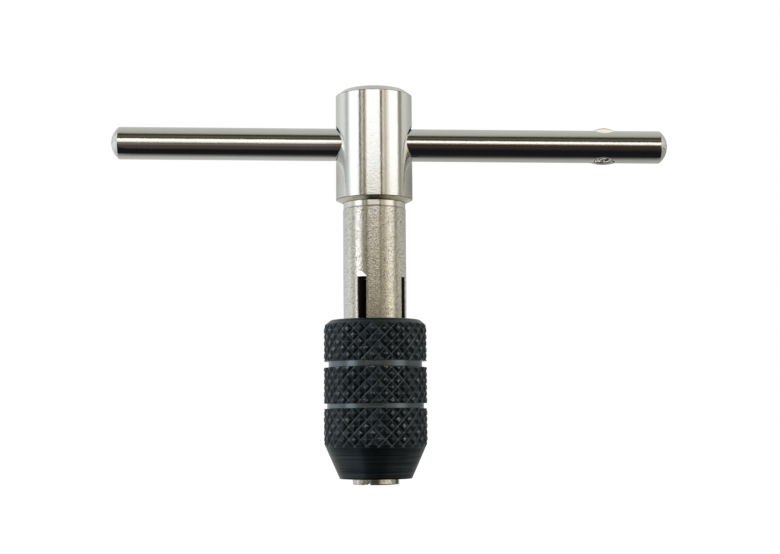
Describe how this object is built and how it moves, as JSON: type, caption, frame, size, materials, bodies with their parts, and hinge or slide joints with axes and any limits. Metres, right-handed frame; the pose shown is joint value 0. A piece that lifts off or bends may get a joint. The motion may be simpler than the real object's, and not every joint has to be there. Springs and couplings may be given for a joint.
{
  "type": "tap wrench",
  "caption": "T-handle tap wrench with a sliding bar through the head, a shank slit into collet fingers and a knurled nut that closes them on a tap's square.",
  "frame": {"origin": "centre of the flat top of the head, on the spindle axis", "axes": "+Z along the spindle from the collet towards the head, +X along the sliding bar towards its staked end"},
  "size_m": [0.1201, 0.022, 0.0844],
  "materials": {
    "satin_nickel": "nickel plated, satin shank and brighter head",
    "polished_bar": "bright nickel plate",
    "black_oxide": "black oxide, satin, diamond knurled",
    "ball_steel": "polished ball steel",
    "spring_steel": "drawn spring wire",
    "plug_steel": "faced flush, nickel plated",
    "black_rubber": "matte rubber"
  },
  "bodies": {
    "spindle": {"spindle_body": "satin_nickel", "detent_ball": "ball_steel", "detent_spring": "spring_steel", "detent_plug": "plug_steel"},
    "bar": {"t_bar": "polished_bar"},
    "nut_ring": {"nut_friction_ring": "black_rubber"},
    "nut": {"chuck_nut": "black_oxide"},
    "finger_1": {"collet_finger_1": "satin_nickel"},
    "finger_2": {"collet_finger_2": "satin_nickel"},
    "finger_3": {"collet_finger_3": "satin_nickel"},
    "finger_4": {"collet_finger_4": "satin_nickel"}
  },
  "joints": [
    {"name": "bar_slide", "type": "slide", "parent": "spindle", "child": "bar", "axis": [0.9999, 0, -0.012], "range_m": [-0.0385, 0.048]},
    {"name": "nut_travel", "type": "slide", "parent": "spindle", "child": "nut_ring", "axis": [0, 0, 1], "range_m": [-0.00158, 0.00221]},
    {"name": "nut_turn", "type": "hinge", "parent": "nut_ring", "child": "nut", "pos_m": [0, 0, -0.0665], "axis": [0, 0, 1], "range_deg": [-450, 630]},
    {"name": "finger_1_flex", "type": "hinge", "parent": "spindle", "child": "finger_1", "pos_m": [0.00185, -0.00507, -0.0407], "axis": [0.9397, 0.342, 0], "range_deg": [-0.66, 0.93]},
    {"name": "finger_2_flex", "type": "hinge", "parent": "spindle", "child": "finger_2", "pos_m": [0.00507, 0.00185, -0.0407], "axis": [-0.342, 0.9397, 0], "range_deg": [-0.66, 0.93]},
    {"name": "finger_3_flex", "type": "hinge", "parent": "spindle", "child": "finger_3", "pos_m": [-0.00185, 0.00507, -0.0407], "axis": [-0.9397, -0.342, 0], "range_deg": [-0.66, 0.93]},
    {"name": "finger_4_flex", "type": "hinge", "parent": "spindle", "child": "finger_4", "pos_m": [-0.00507, -0.00185, -0.0407], "axis": [0.342, -0.9397, 0], "range_deg": [-0.66, 0.93]}
  ],
  "couplings": [
    {"joint": "nut_travel", "follows": "nut_turn", "m_per_rad": 0.00019894},
    {"joint": "finger_1_flex", "follows": "nut_turn", "ratio": 0.0014525},
    {"joint": "finger_2_flex", "follows": "nut_turn", "ratio": 0.0014525},
    {"joint": "finger_3_flex", "follows": "nut_turn", "ratio": 0.0014525},
    {"joint": "finger_4_flex", "follows": "nut_turn", "ratio": 0.0014525}
  ]
}
